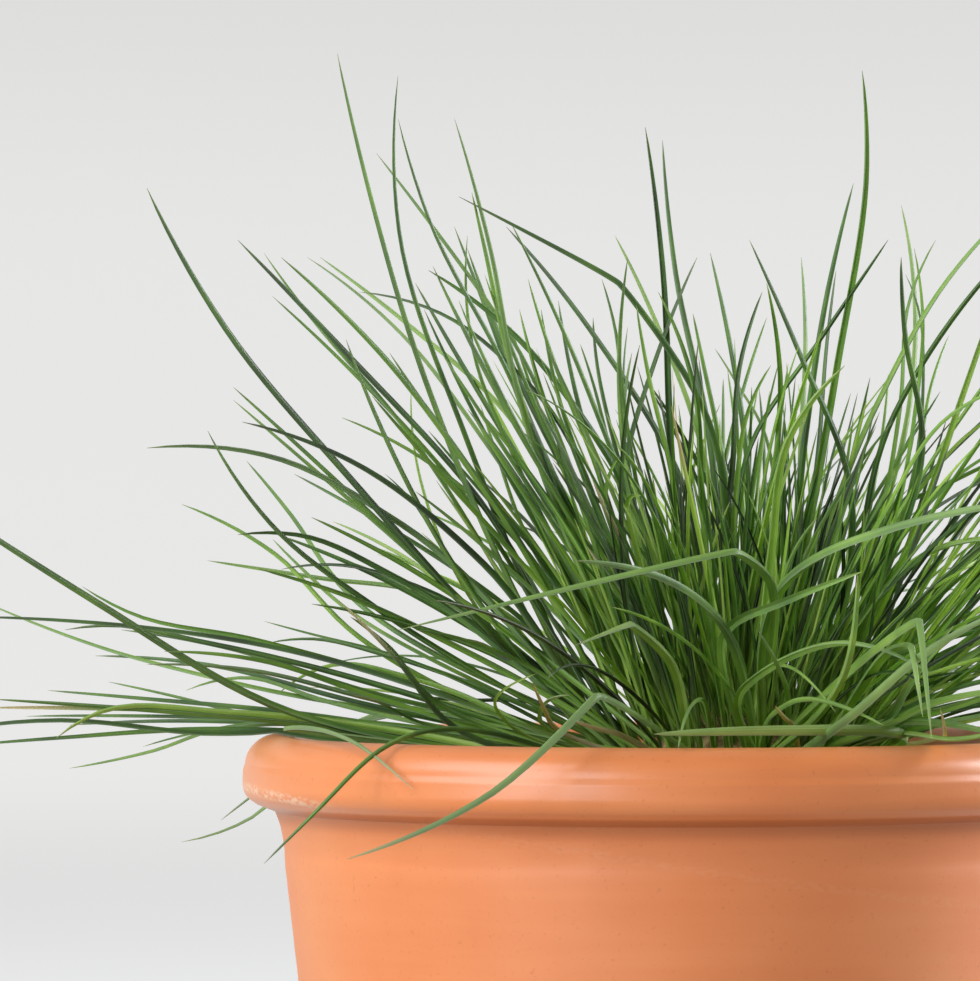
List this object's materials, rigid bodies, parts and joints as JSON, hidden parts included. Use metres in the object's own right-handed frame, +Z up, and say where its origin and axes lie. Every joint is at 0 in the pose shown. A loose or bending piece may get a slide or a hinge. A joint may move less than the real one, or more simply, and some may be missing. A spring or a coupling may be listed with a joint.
{
  "type": "potted ornamental grass",
  "caption": "Clump of blue fescue grass, its fine leaves arching out of a round terracotta pot with a rolled rim.",
  "frame": {"origin": "middle of the pot's foot, on the surface that it stands on, which is the bottom centre of the whole object's box", "axes": "+Z up along the pot's axis; +X to the right as the picture shows it, the object's longest extent; -Y towards the viewer"},
  "size_m": [0.38, 0.36, 0.338],
  "materials": {
    "terracotta": "fired, unglazed, satin",
    "compost": "loose, matt",
    "dry_sheath": "dry plant fibre, matt",
    "fescue_leaf": "living grass leaf, satin"
  },
  "bodies": {
    "root": {"terracotta_pot": "terracotta", "potting_soil": "compost", "crown": "dry_sheath", "leaf_tuft_01": "fescue_leaf", "leaf_tuft_02": "fescue_leaf", "leaf_tuft_03": "fescue_leaf", "leaf_tuft_04": "fescue_leaf", "leaf_tuft_05": "fescue_leaf", "leaf_tuft_06": "fescue_leaf", "leaf_tuft_07": "fescue_leaf", "leaf_tuft_08": "fescue_leaf", "leaf_tuft_09": "fescue_leaf", "leaf_tuft_10": "fescue_leaf", "leaf_tuft_11": "fescue_leaf", "leaf_tuft_12": "fescue_leaf", "leaf_tuft_13": "fescue_leaf", "leaf_tuft_14": "fescue_leaf", "leaf_tuft_15": "fescue_leaf", "leaf_tuft_16": "fescue_leaf", "leaf_tuft_17": "fescue_leaf", "leaf_tuft_18": "fescue_leaf", "leaf_tuft_19": "fescue_leaf", "leaf_tuft_20": "fescue_leaf", "leaf_tuft_21": "fescue_leaf", "leaf_tuft_22": "fescue_leaf", "leaf_tuft_23": "fescue_leaf", "leaf_tuft_24": "fescue_leaf", "leaf_tuft_25": "fescue_leaf", "leaf_tuft_26": "fescue_leaf", "leaf_tuft_27": "fescue_leaf", "leaf_tuft_28": "fescue_leaf", "leaf_tuft_29": "fescue_leaf", "leaf_tuft_30": "fescue_leaf", "leaf_tuft_31": "fescue_leaf", "leaf_tuft_32": "fescue_leaf", "leaf_tuft_33": "fescue_leaf"}
  },
  "joints": []
}
